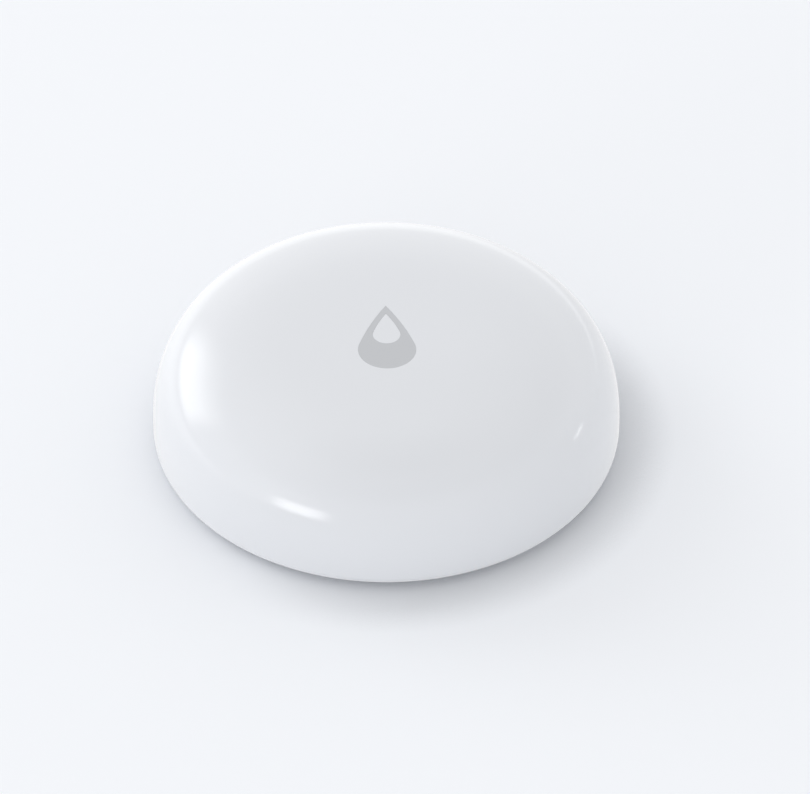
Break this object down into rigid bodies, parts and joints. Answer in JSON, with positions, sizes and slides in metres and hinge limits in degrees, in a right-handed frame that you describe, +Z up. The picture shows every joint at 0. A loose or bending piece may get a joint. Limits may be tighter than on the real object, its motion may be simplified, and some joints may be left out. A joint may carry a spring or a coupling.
{
  "type": "water leak sensor",
  "caption": "Pebble-shaped puck that senses water on the floor between two probes in its underside; its glossy cover is a press button and a coin opens its battery door.",
  "frame": {"origin": "middle of the round footprint, on the floor that the feet stand on", "axes": "+Z up through the crown; -Y is the front; the drop sign's tip points to +Y; the two probes lie on the X axis"},
  "size_m": [0.05, 0.05, 0.015],
  "materials": {
    "cover_white": "high gloss, moulded",
    "inlay_grey": "satin grey, flush with the cover",
    "base_white": "fine spark-eroded texture",
    "door_white": "fine spark-eroded texture",
    "silicone": "translucent silicone",
    "seal_rubber": "matt black rubber",
    "probe_steel": "turned stainless steel",
    "screw_steel": "zinc-plated steel",
    "contact_steel": "nickel-plated spring steel",
    "insert_brass": "knurled brass",
    "cell_steel": "nickel-plated steel",
    "cell_filling": "pressed dark powder",
    "gasket_plastic": "natural nylon",
    "board_green": "solder mask",
    "trace_gold": "gold-plated copper",
    "chip_black": "moulded epoxy",
    "capacitor_tan": "ceramic",
    "lamp_clear": "clear resin on white",
    "switch_black": "moulded nylon",
    "plunger_white": "moulded nylon",
    "ring_white": "moulded"
  },
  "bodies": {
    "base": {"base_housing": "base_white", "cell_can": "cell_steel", "cell_cap": "cell_steel", "cell_gasket": "gasket_plastic", "cell_pellet": "cell_filling", "probe_screws": "probe_steel", "probe_seals": "seal_rubber", "probe_inserts": "insert_brass", "probe_contacts": "contact_steel", "negative_spring": "contact_steel", "positive_clips": "contact_steel", "main_board": "board_green", "radio_chip": "chip_black", "crystal": "contact_steel", "indicator_led": "lamp_clear", "chip_capacitors": "capacitor_tan", "chip_resistors": "chip_black", "antenna_trace": "trace_gold", "switch_body": "switch_black", "switch_dome": "contact_steel", "switch_frame": "contact_steel", "switch_terminals": "contact_steel", "sealing_diaphragm": "silicone", "clamp_ring": "ring_white", "clamp_screws": "screw_steel", "board_screws": "screw_steel"},
    "cover": {"top_cover": "cover_white", "drop_inlay": "inlay_grey"},
    "plunger": {"switch_plunger": "plunger_white"},
    "door": {"battery_door": "door_white", "door_seal": "seal_rubber"}
  },
  "joints": [
    {"name": "cover_press", "type": "slide", "parent": "base", "child": "cover", "axis": [0, 0, -1], "range_m": [0, 0.0003], "stiffness_N_per_m": 5000, "springref_m": -0.0001, "deforming": ["sealing_diaphragm", "switch_dome"]},
    {"name": "plunger_press", "type": "slide", "parent": "base", "child": "plunger", "axis": [0, 0, -1], "range_m": [0, 0.0003]},
    {"name": "door_twist", "type": "hinge", "parent": "base", "child": "door", "pos_m": [0, 0, 0], "axis": [0, 0, -1], "range_deg": [0, 35]}
  ],
  "couplings": [
    {"joint": "plunger_press", "follows": "cover_press", "ratio": 1}
  ]
}
